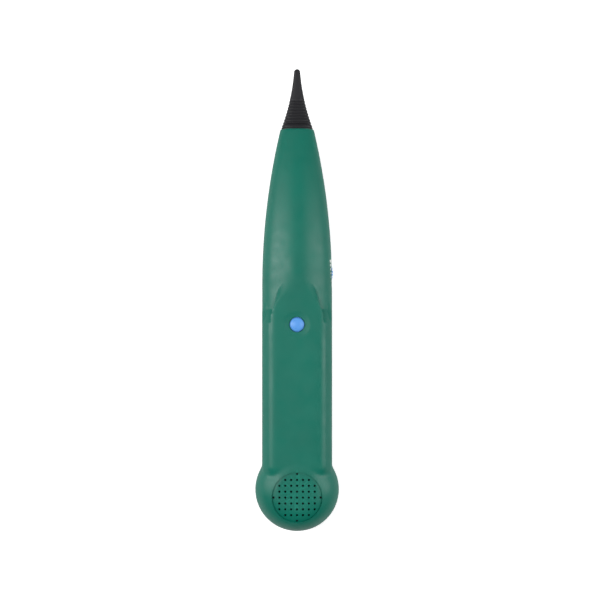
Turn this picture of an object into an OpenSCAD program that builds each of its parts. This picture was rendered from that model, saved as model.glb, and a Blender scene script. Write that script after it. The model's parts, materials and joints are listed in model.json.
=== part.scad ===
// Hand-held receiver of a circuit breaker finder, lying on its back.
// X runs across the tool, Y from the tail to the probe tip, Z up through the front face.
// The origin lies under the middle of the tool, on the surface that it rests on.

/* [Overall] */
// Length from the tail to the end of the probe tip
overall_l = 254; // [240:1:280]
// Length from the tail to the mouth of the housing
housing_l = 221; // [205:1:235]
// Width of the straight grip
grip_w = 38.4; // [36:0.1:46]
// Depth of the straight grip
grip_d = 26.8; // [25.6:0.1:30]
// Wall of both housing shells
wall = 2; // [1.6:0.1:2.4]
// Gap between two pieces that only stand beside each other
gap = 0.3; // [0.2:0.05:0.4]
// Radial gap of a screw or pin in its hole
fit_gap = 0.05; // [0.02:0.01:0.1]

/* [Bulb] */
// Radius of the round speaker end
bulb_r = 23; // [21:0.1:27]
// Depth of the round speaker end
bulb_d = 27.6; // [27:0.1:32]
// Radius of the flat middle of the bulb
bulb_flat_r = 9.3; // [6:0.1:12]

/* [Nose] */
// Place where the nose starts to narrow in width
nose_w_start = 135; // [128:1:145]
// Radius of the nose's arc in the front view
nose_w_arc = 371; // [340:1:420]
// Place where the nose starts to narrow in depth
nose_d_start = 151; // [145:1:160]
// Radius of the nose's arc in the side view
nose_d_arc = 324; // [300:1:360]

/* [Probe tip] */
// Width of the tip just behind its round end
tip_w = 3.3; // [2.8:0.1:4]
// Depth of the tip just behind its round end
tip_d = 2.3; // [2:0.1:3]
// Length of the stalk inside the mouth
tip_stalk_l = 9; // [7:0.5:11]
// Radius of the contact rod in the tip
rod_r = 0.9; // [0.6:0.05:1]

/* [Button] */
// Distance of the button's centre from the tail
button_y = 113.7; // [112:0.1:118]
// Diameter of the button cap
button_dia = 7.8; // [6:0.1:9]
// Height of the dome over the front face
button_proud = 1.2; // [0.8:0.1:1.6]
// Travel of the button
button_travel = 0.8; // [0.4:0.1:0.9]

/* [Volume wheel] */
// Distance of the wheel's axis from the tail
wheel_y = 141.7; // [138:0.1:146]
// Radius of the wheel over its ridges
wheel_r = 11; // [10:0.1:12]
// Thickness of the wheel
wheel_t = 4; // [3.4:0.1:4.2]
// Height of the wheel's middle over the parting plane, below it if negative
wheel_z = -0.8; // [-1.5:0.1:-0.5]
// How far the wheel stands out of the housing
wheel_proud = 0.5; // [0.3:0.1:0.9]
// Length of the slot around the wheel
slot_l = 16; // [15:0.1:18]
// Number of ridges round the wheel
wheel_ridges = 42; // [36:1:48]
// Radius of the wheel's pin in the potentiometer
pin_r = 2; // [1.5:0.1:2.5]

/* [Speaker] */
// Distance of the speaker's centre from the tail
speaker_y = 19.7; // [18:0.1:22]
// Radius of the speaker
speaker_r = 14; // [13:0.1:14.2]
// Distance between two grille holes
grille_pitch = 3.2; // [3:0.1:3.4]
// Diameter of a grille hole
grille_hole = 1.25; // [1:0.05:1.6]
// Radius of the shallow dish around the grille
dish_r = 13.75; // [13.5:0.05:15]
// Depth of that dish
dish_t = 0.75; // [0.5:0.05:1]

/* [Earphone jack] */
// Distance of the jack's axis from the tail
jack_y = 20.1; // [19:0.1:22]
// Depth of the jack's axis below the parting plane
jack_z = 6.6; // [6.2:0.1:7]
// Radius of the jack's bore
jack_bore_r = 1.8; // [1.75:0.01:1.85]
// Outer radius of the jack's metal ferrule
ferrule_r = 3.1; // [2.9:0.05:3.3]

/* [Battery] */
// Length of the battery over its snaps
battery_l = 48.5; // [46:0.1:49]
// Width of the battery
battery_w = 26.5; // [25:0.1:27]
// Thickness of the battery
battery_t = 17.5; // [16:0.1:17.5]
// Distance of the door's tail end from the tail
door_y = 36.9; // [36:0.1:40]
// Length of the battery door
door_l = 66.5; // [62:0.5:68]
// How far the door's sides reach round the corners
door_wrap = 4; // [3.5:0.1:4.5]
// How far the door lies below the housing's surface
door_sunk = 0.3; // [0.2:0.05:0.5]

/* [Back pad] */
// Width of the raised pad on the back
back_pad_w = 22; // [16:1:24]
// Length of the raised pad on the back
back_pad_l = 15; // [10:1:18]

/* [Circuit board] */
// Thickness of the circuit board
board_t = 1.6; // [1:0.1:1.6]
// Width of the circuit board
board_w = 26; // [22:1:27]
// Length of the circuit board
board_l = 59; // [56:1:60]
// Diameter of the wires
wire_dia = 1.2; // [0.8:0.1:1.2]

/* [Hidden] */
$fn = 48;

half_w = grip_w / 2;
half_d = grip_d / 2;
bulb_h = bulb_d / 2;
arc_points = 16;
cut = 30;

// The board hangs under the button, and the wheel runs under the board.
switch_h = 3.5;
cap_bottom = half_d - 4.2;
board_top = cap_bottom - button_travel - gap - switch_h;
board_z = board_top - board_t;
board_y = door_y + door_l + 2.6;
wheel_top = wheel_z + wheel_t / 2;
wheel_x = half_w + wheel_proud - wheel_r;

// The battery stands in a box that is open towards the door.
box_wall = 1;
door_gap = 0.25;
box_in_w = battery_w + 2 * gap + 0.1;
box_y = door_y - door_gap;
box_l = door_l + 2 * door_gap;
battery_z = -(half_d - wall - door_sunk) + 0.8;
box_top = battery_z + battery_t + 0.1;
battery_y = box_y + 1.6;
ledge_z = -(half_d - door_wrap) + door_gap;
hinge_y = door_y + door_l;
hinge_z = -(half_d - door_sunk);
tongue_x = 9;
tongue_w = 6;

screw_r = 1.1;
screw_head_r = 2.1;
bay_screw = [10.5, door_y + door_l - 6.4];
nose_screw_y = 178;
board_screw_x = -9;
board_screw_ys = [board_y + 4, board_y + board_l - 5];

ring_r = speaker_r + gap;
frame_top = 8.2;
magnet_r = 8.5;
magnet_t = 3.7;
basket_h = 3.8;
jack_in = 14.6;
ferrule_x = bulb_r - 2.4;
jack_body_l = 11;
holder_y = housing_l - tip_stalk_l - 5;
holder_t = 4;
core_x = -5.4;
core_l = 20;
coil_l = 15;
wire_r = wire_dia / 2;

// Moves the tool from its own middle plane and tail to the frame of the part.
module in_frame() {
    translate([0, -overall_l / 2, bulb_h]) children();
}

// How far a circle of radius r falls away at a distance d along its tangent.
function sagitta(r, d) = d <= 0 ? 0 : r - sqrt(r * r - d * d);
function smooth(t) = let (u = min(1, max(0, t))) u * u * (3 - 2 * u);
function body_half_w(y) = half_w - sagitta(nose_w_arc, y - nose_w_start);
function body_half_d(y) = half_d - sagitta(nose_d_arc, y - nose_d_start);
// The section is boxy along the grip and an oval at the nose.
function body_power(y) = 4 - 1.85 * smooth((y - 108) / 45);

function half_section(w, d, power, y, up) = [
    for (i = [0:arc_points])
        let (t = 180 * i / arc_points, c = cos(t), s = max(0, sin(t)))
            [
                w * sign(c) * pow(abs(c), 2 / power),
                y,
                up * d * pow(i == arc_points ? 0 : s, 2 / power)
            ]
];

// Places along the body where its section changes.
function body_stations(y0, y1) = [
    y0,
    for (y = [109:7:housing_l - 4]) if (y > y0 + 1 && y < y1 - 1) y,
    y1
];

// One half of the body, inset from its outer surface, over the parting plane or under it.
module half_body(y0, y1, inset, up) {
    stations = body_stations(y0, y1);
    n = arc_points + 1;
    last = len(stations) - 1;
    points = [
        for (y = stations)
            each half_section(body_half_w(y) - inset, body_half_d(y) - inset, body_power(y), y, up)
    ];
    skin = [
        for (k = [0:last - 1], i = [0:arc_points - 1])
            each [
                [k * n + i, k * n + i + 1, (k + 1) * n + i + 1],
                [k * n + i, (k + 1) * n + i + 1, (k + 1) * n + i]
            ]
    ];
    base = [
        for (k = [0:last - 1]) [(k + 1) * n - 1, k * n, (k + 1) * n, (k + 2) * n - 1]
    ];
    ends = [
        [for (i = [arc_points:-1:0]) i],
        [for (i = [0:arc_points]) last * n + i]
    ];
    faces = concat(skin, base, ends);
    polyhedron(points, up > 0 ? faces : [for (f = faces) [for (i = [len(f) - 1:-1:0]) f[i]]]);
}

// One half of the round end, inset from its outer surface.
module half_bulb(inset, up) {
    edge = bulb_r - bulb_flat_r - inset;
    scale_z = (bulb_h - inset) / edge;
    flat = bulb_flat_r;
    steps = 15;
    points = concat(
        [[0, 0]],
        [for (i = [0:steps]) [flat + edge * cos(90 * i / steps), scale_z * edge * sin(90 * i / steps)]],
        [[0, bulb_h - inset]]
    );
    translate([0, bulb_r, 0]) mirror([0, 0, up > 0 ? 0 : 1])
        rotate_extrude($fn = 64) polygon(points);
}

module half_outside(up) {
    half_body(bulb_r, housing_l, 0, up);
    half_bulb(0, up);
}

module half_inside(up) {
    half_body(bulb_r - 4, housing_l + 0.5, wall, up);
    half_bulb(wall, up);
}

module half_shell(up) {
    difference() {
        half_outside(up);
        translate([0, 0, -up * 0.01]) half_inside(up);
    }
}

module wheel_slot() {
    translate([half_w - 5, wheel_y - slot_l / 2, wheel_z - wheel_t / 2 - 0.4])
        cube([10, slot_l, wheel_t + 0.8]);
}

module tube(r, inner_r, h) {
    difference() {
        cylinder(r = r, h = h);
        translate([0, 0, -1]) cylinder(r = inner_r, h = h + 2);
    }
}

module post(x, y, z0, z1, r, hole_r) {
    translate([x, y, z0]) tube(r, hole_r, z1 - z0);
}

module grille_holes() {
    for (i = [-4:4], j = [-4:4])
        if (i * i + j * j <= 16)
            translate([i * grille_pitch, speaker_y + j * grille_pitch, 6])
                cylinder(d = grille_hole, h = cut, $fn = 24);
}

module front_shell() {
    color([0.08, 0.46, 0.40]) in_frame() {
        difference() {
            half_shell(1);
            // dish of the speaker grille
            difference() {
                translate([0, speaker_y, 6]) cylinder(r = dish_r, h = cut);
                half_bulb(dish_t, 1);
            }
            grille_holes();
            translate([0, button_y, 6]) cylinder(r = button_dia / 2 + gap, h = cut);
            wheel_slot();
        }
        // ring that holds the speaker, with a gap for its leads
        difference() {
            intersection() {
                translate([0, speaker_y, 5]) tube(ring_r + 1.2, ring_r, 9);
                half_bulb(wall / 2, 1);
            }
            translate([-5.5, speaker_y, 0]) cube([11, speaker_r + 5, cut]);
        }
        // bosses for the shell screws and posts for the board
        intersection() {
            union() {
                for (x = [-bay_screw[0], bay_screw[0]])
                    post(x, bay_screw[1], box_top + box_wall + gap, half_d, 2.8, screw_r + fit_gap);
                post(0, nose_screw_y, 0.3, half_d, 2.8, screw_r + fit_gap);
                for (y = board_screw_ys)
                    post(board_screw_x, y, board_top, half_d, 2.4, screw_r + fit_gap);
            }
            half_body(door_y, housing_l, wall / 2, 1);
        }
    }
}

module back_shell() {
    color([0.07, 0.42, 0.36]) in_frame() {
        difference() {
            union() {
                half_shell(-1);
                // ledge that the door lies on
                intersection() {
                    translate([-half_w, box_y - box_wall, ledge_z])
                        cube([grip_w, box_l + 2 * box_wall, 1.1]);
                    half_body(box_y - 3, housing_l, wall / 2, -1);
                }
                difference() {
                    // box around the battery
                    translate([-box_in_w / 2 - box_wall, box_y - box_wall, -half_d + wall / 2])
                        cube([
                            box_in_w + 2 * box_wall,
                            box_l + 2 * box_wall,
                            box_top + box_wall + half_d - wall / 2
                        ]);
                    translate([-cut, box_y, -cut]) cube([2 * cut, box_l, cut + ledge_z]);
                }
                // raised pad that the tool rests on, level with the back of the bulb
                translate([-back_pad_w / 2, hinge_y + 1.6, -bulb_h])
                    cube([back_pad_w, back_pad_l, bulb_h - half_d + wall / 2]);
                translate([0, nose_screw_y, 0]) mirror([0, 0, 1])
                    cylinder(r = 4, h = body_half_d(nose_screw_y) - wall / 2);
                // cradle under the jack
                intersection() {
                    translate([-jack_in + 1.6, jack_y - 3, -cut]) cube([8, 6, cut - jack_z - 2.9]);
                    half_bulb(wall / 2, -1);
                }
            }
            translate([-box_in_w / 2, box_y, -cut]) cube([box_in_w, box_l, cut + box_top]);
            translate([-cut, box_y, -cut]) cube([2 * cut, box_l, cut + ledge_z]);
            for (x = [-tongue_x, tongue_x])
                translate([x - tongue_w / 2 - gap, hinge_y - 1, hinge_z + wall - gap + 0.05])
                    cube([tongue_w + 2 * gap, 4, 2.6]);
            // way out for the battery leads
            translate([-4, hinge_y - 1, -1]) cube([8, 4, box_top + 0.9]);
            translate([-cut, jack_y, -jack_z]) rotate([0, 90, 0])
                cylinder(r = ferrule_r + 0.55, h = cut - jack_in);
            wheel_slot();
            for (x = [-bay_screw[0], bay_screw[0]])
                translate([x, bay_screw[1], box_top - 1])
                    cylinder(r = screw_r + fit_gap, h = box_wall + 2);
            translate([0, nose_screw_y, -cut]) cylinder(r = screw_r + fit_gap, h = cut + 1);
            translate([0, nose_screw_y, -cut - 6]) cylinder(r = screw_head_r + 0.3, h = cut);
        }
        // posts in the battery box for two of the shell screws
        for (x = [-bay_screw[0], bay_screw[0]])
            difference() {
                post(x, bay_screw[1], -4, box_top + box_wall, 2.8, screw_r + fit_gap);
                translate([x + sign(x) * (box_in_w / 2 - 10.5 + 0.5), bay_screw[1] - 4, -cut])
                    mirror([x < 0 ? 1 : 0, 0, 0]) cube([4, 8, 2 * cut]);
            }
    }
}

module battery_door() {
    color([0.07, 0.42, 0.36]) in_frame() {
        intersection() {
            difference() {
                half_body(door_y, hinge_y, door_sunk, -1);
                half_body(door_y - 1, hinge_y + 1, door_sunk + wall, -1);
                // flat floor under the battery
                translate([-box_in_w / 2, door_y + 1.2, hinge_z + wall])
                    cube([box_in_w, door_l - 2.4, cut]);
            }
            translate([-cut, 0, -cut]) cube([2 * cut, housing_l, cut - half_d + door_wrap]);
        }
        // tongues that hook under the housing, and the latch at the other end
        for (x = [-tongue_x, tongue_x])
            translate([x - tongue_w / 2, hinge_y - 2.5, hinge_z + wall - 0.05])
                cube([tongue_w, 4.6, 1.2]);
        translate([-5, door_y + 0.2, hinge_z + wall - 0.05]) cube([10, 0.8, 0.45]);
    }
}

module door_foam() {
    color([0.15, 0.15, 0.16]) in_frame()
        translate([-10, door_y + 12, hinge_z + wall]) cube([20, 30, 0.5]);
}

// Half width and half depth of the bare tip at a distance s from its end.
function tip_round(s) = s < 1.5 ? sqrt(max(0.02, 1 - pow((1.5 - s) / 1.5, 2))) : 1;
function tip_half_w(s) = tip_round(s) * (tip_w / 2 + 0.065 * s + 0.0046 * s * s);
function tip_half_d(s) = tip_round(s) * (tip_d / 2 + 0.05 * s + 0.0006 * s * s);

// A closed tube through oval sections, each given as [y, half width, half depth].
module oval_loft(sections, sides) {
    last = len(sections) - 1;
    points = [
        for (o = sections, i = [0:sides - 1])
            [o[1] * cos(360 * i / sides), o[0], o[2] * sin(360 * i / sides)]
    ];
    skin = [
        for (k = [0:last - 1], i = [0:sides - 1])
            let (a = k * sides + i, b = k * sides + (i + 1) % sides)
                each [[a, b, b + sides], [a, b + sides, a + sides]]
    ];
    ends = [
        [for (i = [sides - 1:-1:0]) i],
        [for (i = [0:sides - 1]) last * sides + i]
    ];
    polyhedron(points, concat(skin, ends));
}

module probe_tip() {
    mouth_w = body_half_w(housing_l) - wall;
    mouth_d = body_half_d(housing_l) - wall;
    bare_l = overall_l - housing_l;
    distances = [0, 0.3, 0.8, 1.5, 4, 8, 12, 16, 20, 24, 28, 31];
    color([0.10, 0.10, 0.11]) in_frame()
        difference() {
            oval_loft(
                concat(
                    [
                        [housing_l - tip_stalk_l, mouth_w - 0.1, mouth_d - 0.1],
                        [housing_l + 0.1, mouth_w - 0.1, mouth_d - 0.1],
                        [housing_l + 0.15, tip_half_w(bare_l), mouth_d + 1]
                    ],
                    [
                        for (i = [len(distances) - 1:-1:0])
                            let (s = distances[i])
                                if (s < bare_l - 1) [overall_l - s, tip_half_w(s), tip_half_d(s)]
                    ]
                ),
                28
            );
            translate([0, housing_l - tip_stalk_l - 1, 0]) rotate([-90, 0, 0])
                cylinder(r = rod_r + fit_gap, h = tip_stalk_l + 21, $fn = 24);
        }
}

module tip_contact() {
    color([0.80, 0.65, 0.30]) in_frame()
        translate([0, holder_y - 2, 0]) rotate([-90, 0, 0]) {
            cylinder(r = rod_r, h = holder_t + tip_stalk_l + 22, $fn = 24);
            cylinder(r = 2, h = 2, $fn = 24);
        }
}

module tip_holder() {
    back = [body_half_w(holder_y) - wall - 0.15, body_half_d(holder_y) - wall - 0.15];
    front_y = holder_y + holder_t;
    front = [body_half_w(front_y) - wall - 0.15, body_half_d(front_y) - wall - 0.15];
    color([0.85, 0.85, 0.80]) in_frame()
        difference() {
            oval_loft([[holder_y, back[0], back[1]], [front_y, front[0], front[1]]], 28);
            translate([0, holder_y - 1, 0]) rotate([-90, 0, 0])
                cylinder(r = rod_r + fit_gap, h = holder_t + 2, $fn = 24);
            translate([core_x, holder_y - 1, 0]) rotate([-90, 0, 0])
                cylinder(r = 1.6 + fit_gap, h = 3.5, $fn = 24);
        }
}

module ferrite_core() {
    color([0.22, 0.22, 0.24]) in_frame()
        translate([core_x, holder_y + 2.4 - core_l, 0]) rotate([-90, 0, 0])
            cylinder(r = 1.6, h = core_l, $fn = 24);
}

module pickup_coil() {
    color([0.72, 0.38, 0.18]) in_frame()
        translate([core_x, holder_y - 0.2 - coil_l, 0]) rotate([-90, 0, 0])
            tube(3.1, 1.6 + fit_gap, coil_l);
}

module circuit_board() {
    color([0.10, 0.35, 0.20]) in_frame()
        difference() {
            translate([-board_w / 2, board_y, board_z]) cube([board_w, board_l, board_t]);
            for (y = board_screw_ys)
                translate([board_screw_x, y, board_z - 1])
                    cylinder(r = screw_r + fit_gap, h = board_t + 2, $fn = 24);
        }
}

// A pan-head screw along Z, with its head under the seat at z = 0.
module screw(shank_l, head_h) {
    cylinder(r = screw_r, h = shank_l, $fn = 24);
    translate([0, 0, -head_h]) difference() {
        cylinder(r = screw_head_r, h = head_h, $fn = 32);
        for (a = [0, 90])
            rotate([0, 0, a]) translate([-1.3, -0.25, -0.01]) cube([2.6, 0.5, 0.7]);
    }
}

module board_screws() {
    color([0.75, 0.75, 0.78]) in_frame()
        for (y = board_screw_ys) translate([board_screw_x, y, board_z]) screw(6, 1.3);
}

module shell_screws() {
    color([0.75, 0.75, 0.78]) in_frame() {
        for (x = [-bay_screw[0], bay_screw[0]])
            translate([x, bay_screw[1], -4]) screw(box_top + box_wall + 6, 1.6);
        translate([0, nose_screw_y, -6]) screw(12, 1.6);
    }
}

// A chip body with a row of legs along each side.
module chip(x, y, w, l, legs) {
    translate([x - w / 2, y - l / 2, board_top + 0.2]) cube([w, l, 1.4]);
    for (i = [0:legs - 1], side = [-1, 1])
        translate([x + side * (w / 2 + 0.3) - 0.35, y - l / 2 + (i + 0.5) * l / legs - 0.2, board_top])
            cube([0.7, 0.4, 0.7]);
}

module amplifier_chips() {
    color([0.12, 0.12, 0.13]) in_frame() {
        chip(0, board_y + 24, 4, 8.7, 7);
        chip(0, board_y + 40, 4, 5, 4);
    }
}

module capacitors() {
    color([0.20, 0.25, 0.45]) in_frame()
        for (y = [board_y + 20, board_y + 28])
            translate([8, y, board_top]) cylinder(r = 2.5, h = 5, $fn = 32);
}

module resistors() {
    color([0.15, 0.15, 0.15]) in_frame()
        for (i = [0:3])
            translate([-10, board_y + 20 + 4 * i, board_top]) cube([3.2, 1.6, 0.6]);
}

module button_cap() {
    top = half_d + button_proud;
    r = button_dia / 2;
    flange_top = half_d - wall - gap;
    dome = 1.6;
    ball = (r * r + dome * dome) / (2 * dome);
    half_angle = asin(r / ball);
    color([0.37, 0.65, 0.96]) in_frame()
        translate([0, button_y, 0]) rotate_extrude($fn = 48)
            polygon(concat(
                [
                    [0, cap_bottom], [r, cap_bottom], [r, flange_top - 0.9],
                    [r + 0.9, flange_top - 0.9], [r + 0.9, flange_top], [r, flange_top]
                ],
                [for (i = [0:5]) let (a = half_angle * (5 - i) / 5)
                    [i == 5 ? 0 : ball * sin(a), top - ball + ball * cos(a)]]
            ));
}

module switch_plunger() {
    color([0.90, 0.90, 0.88]) in_frame()
        translate([0, button_y, board_top + 0.3 + button_travel + gap])
            cylinder(r = 1.5, h = cap_bottom - board_top - 0.3 - button_travel - gap, $fn = 32);
}

module switch_body() {
    color([0.14, 0.14, 0.15]) in_frame()
        difference() {
            translate([-3, button_y - 3, board_top]) cube([6, 6, switch_h]);
            translate([0, button_y, board_top + 0.3]) cylinder(r = 1.5 + fit_gap, h = switch_h, $fn = 32);
        }
}

module volume_wheel() {
    ridge = 0.35;
    color([0.37, 0.65, 0.96]) in_frame()
        translate([wheel_x, wheel_y, wheel_z - wheel_t / 2])
            difference() {
                union() {
                    linear_extrude(wheel_t)
                        polygon([
                            for (i = [0:2 * wheel_ridges - 1])
                                let (a = 180 * i / wheel_ridges, r = wheel_r - (i % 2) * ridge)
                                    [r * cos(a), r * sin(a)]
                        ]);
                    cylinder(r = pin_r, h = wheel_t + 0.2 + 1.3, $fn = 48);
                }
                translate([0, 0, -1]) cylinder(r = screw_head_r + 0.2, h = 2.4, $fn = 32);
                cylinder(r = screw_r + fit_gap, h = wheel_t - 0.2, $fn = 24);
            }
}

module wheel_screw() {
    color([0.75, 0.75, 0.78]) in_frame()
        translate([wheel_x, wheel_y, wheel_z - wheel_t / 2 + 1.4]) screw(wheel_t - 1.8, 1.2);
}

module potentiometer() {
    color([0.25, 0.20, 0.15]) in_frame()
        translate([wheel_x - 1.2, wheel_y, wheel_top + 0.2])
            difference() {
                cylinder(r = 5.4, h = board_z - wheel_top - 0.2);
                translate([1.2, 0, -1]) cylinder(r = pin_r + fit_gap, h = 1 + 1.45, $fn = 48);
            }
}

module speaker_frame() {
    color([0.70, 0.72, 0.74]) in_frame() {
        translate([0, speaker_y, frame_top]) rotate_extrude($fn = 64)
            polygon([
                [12.2, 0], [speaker_r, 0], [speaker_r, -1], [12.8, -1], [magnet_r, -basket_h],
                [4, -basket_h], [4, -basket_h + 0.6], [magnet_r - 0.3, -basket_h + 0.6], [12.2, -0.9]
            ]);
        translate([-4, speaker_y + speaker_r - 0.6, frame_top - 1]) cube([8, 1.9, 1]);
    }
}

module speaker_cone() {
    color([0.12, 0.12, 0.12]) in_frame()
        translate([0, speaker_y, frame_top]) rotate_extrude($fn = 64)
            polygon([
                [0, -2.3], [4, -2.3], [11.2, -0.5], [12.2, -0.4], [12.2, 0],
                [11.1, 0], [3.9, -1.8], [0, -1.8]
            ]);
}

module speaker_magnet() {
    color([0.35, 0.35, 0.37]) in_frame()
        translate([0, speaker_y, frame_top - basket_h - magnet_t])
            cylinder(r = magnet_r, h = magnet_t);
}

module speaker_gasket() {
    color([0.10, 0.10, 0.10]) in_frame()
        intersection() {
            translate([0, speaker_y, frame_top]) tube(speaker_r, 12.4, 6);
            half_bulb(wall + 0.1, 1);
        }
}

module jack_body() {
    color([0.12, 0.12, 0.13]) in_frame()
        difference() {
            translate([-jack_in, jack_y - 3.4, -jack_z - 2.9]) cube([jack_body_l, 6.8, 5.8]);
            translate([-jack_in - 1, jack_y, -jack_z]) rotate([0, 90, 0])
                cylinder(r = jack_bore_r + 0.5, h = jack_body_l - 0.5, $fn = 48);
        }
}

module jack_ferrule() {
    color([0.80, 0.80, 0.82]) in_frame()
        translate([-ferrule_x, jack_y, -jack_z]) rotate([0, 90, 0]) difference() {
            cylinder(r = ferrule_r, h = ferrule_x - jack_in);
            translate([0, 0, -1]) cylinder(r = jack_bore_r, h = 10, $fn = 48);
        }
}

module battery() {
    color([0.35, 0.36, 0.38]) in_frame() {
        translate([-battery_w / 2, battery_y, battery_z]) cube([battery_w, battery_l - 2.5, battery_t]);
        for (x = [-6.35, 6.35])
            translate([x, battery_y + battery_l - 2.5, battery_z + battery_t / 2]) rotate([-90, 0, 0])
                cylinder(r = x < 0 ? 2.9 : 3.9, h = 2.5);
    }
}

module snap_connector() {
    y = battery_y + battery_l - 2.5;
    color([0.10, 0.10, 0.10]) in_frame()
        difference() {
            translate([-12, y + 0.1, battery_z + battery_t / 2 - 5]) cube([24, 4.2, 10]);
            for (x = [-6.35, 6.35])
                translate([x, y - 1, battery_z + battery_t / 2]) rotate([-90, 0, 0])
                    cylinder(r = (x < 0 ? 2.9 : 3.9) + fit_gap, h = 3.6);
        }
}

// A tube along points, with a ring at each of them.
function unit(v) = v / norm(v);
function path_dir(p, i) = unit(p[min(i + 1, len(p) - 1)] - p[max(i - 1, 0)]);
module wire(p, r) {
    sides = 8;
    last = len(p) - 1;
    points = [
        for (i = [0:last])
            let (
                t = path_dir(p, i),
                side = unit(cross(t, abs(t[1]) > 0.8 ? [0, 0, 1] : [0, 1, 0])),
                other = cross(side, t)
            )
            for (k = [0:sides - 1])
                p[i] + r * (cos(45 * k) * side + sin(45 * k) * other)
    ];
    skin = [
        for (i = [0:last - 1], k = [0:sides - 1])
            let (a = i * sides + k, b = i * sides + (k + 1) % sides)
                each [[a, b + sides, b], [a, a + sides, b + sides]]
    ];
    ends = [
        [for (k = [0:sides - 1]) k],
        [for (k = [sides - 1:-1:0]) last * sides + k]
    ];
    polyhedron(points, concat(skin, ends));
}

module battery_leads() {
    y0 = battery_y + battery_l + 1.8;
    z0 = battery_z + battery_t / 2;
    color([0.65, 0.10, 0.10]) in_frame()
        for (x = [-1.6, 1.6])
            wire([
                [x, y0, z0 + 3], [x, y0 + 2, z0 + 3], [x, y0 + 5, z0 + 4], [x, y0 + 9, z0 + 5.2],
                [x, hinge_y - 3, board_z + 0.6], [x, hinge_y + 0.5, board_z + 0.9],
                [x, board_y, board_z + 0.9]
            ], wire_r);
}

module speaker_leads() {
    y0 = speaker_y + speaker_r + 0.7;
    high = box_top + box_wall + wire_r + 0.45;
    color([0.85, 0.80, 0.20]) in_frame()
        for (x = [-2.5, 2.5])
            wire([
                [x, y0, frame_top], [x, y0, high - 0.2], [x, y0 + 0.9, high + 0.2], [x, y0 + 5, high],
                [x, hinge_y - 6, high], [x, hinge_y + 0.6, high], [x, hinge_y + 2, high - 1],
                [x, board_y + 1.2, board_top + 1.6], [x, board_y + 2.2, board_top + 0.3]
            ], wire_r);
}

module jack_lead() {
    side_x = half_w - wall - wire_r - 0.7;
    end_z = board_z + board_t / 2;
    color([0.85, 0.85, 0.85]) in_frame()
        wire([
            [-jack_in + jack_body_l + 0.1, jack_y, -jack_z], [-jack_in + jack_body_l + 1.5, jack_y + 0.3, -jack_z],
            [-1, jack_y + 3.5, -jack_z + 0.3], [-2.6, jack_y + 8, -5.2], [-7, door_y - 4.5, -4],
            [-12, door_y - 3.7, -3], [-14.8, door_y - 2.6, -2], [-side_x - 0.1, door_y - 0.4, -1.2],
            [-side_x, door_y + 5, -0.6], [-side_x, hinge_y - 8, 0], [-side_x, hinge_y - 1, 0.6],
            [-side_x + 0.1, board_y + 2.4, end_z - 1], [-board_w / 2 - 1.2, board_y + 7, end_z],
            [-board_w / 2 - 0.25, board_y + 7.5, end_z]
        ], wire_r);
}

module tip_lead() {
    end_z = board_z + board_t / 2;
    color([0.75, 0.10, 0.10]) in_frame()
        wire([
            [1.2, holder_y - 2.1, 0], [1.3, holder_y - 4, 0], [4, holder_y - 9, 0.6],
            [5.6, holder_y - 16, 1.6], [5.6, nose_screw_y, end_z - 0.6],
            [5.4, board_y + board_l + 4, end_z], [5.4, board_y + board_l, end_z]
        ], wire_r);
}

module coil_lead() {
    end_z = board_z + board_t / 2;
    y0 = holder_y - 0.2 - coil_l;
    color([0.30, 0.30, 0.75]) in_frame()
        wire([
            [core_x, y0 - 0.1, 2.3], [core_x - 0.2, y0 - 1.5, 2.4], [core_x - 1, nose_screw_y + 2, end_z - 1],
            [core_x - 1, nose_screw_y - 4, end_z - 0.3], [core_x - 1, board_y + board_l + 3, end_z],
            [core_x - 1, board_y + board_l, end_z]
        ], 0.4);
}

front_shell();
back_shell();
battery_door();
door_foam();
probe_tip();
tip_contact();
tip_holder();
ferrite_core();
pickup_coil();
circuit_board();
board_screws();
amplifier_chips();
capacitors();
resistors();
button_cap();
switch_plunger();
switch_body();
volume_wheel();
wheel_screw();
potentiometer();
speaker_frame();
speaker_cone();
speaker_magnet();
speaker_gasket();
jack_body();
jack_ferrule();
battery();
snap_connector();
battery_leads();
speaker_leads();
jack_lead();
tip_lead();
coil_lead();
shell_screws();
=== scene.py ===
import json
import math

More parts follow.
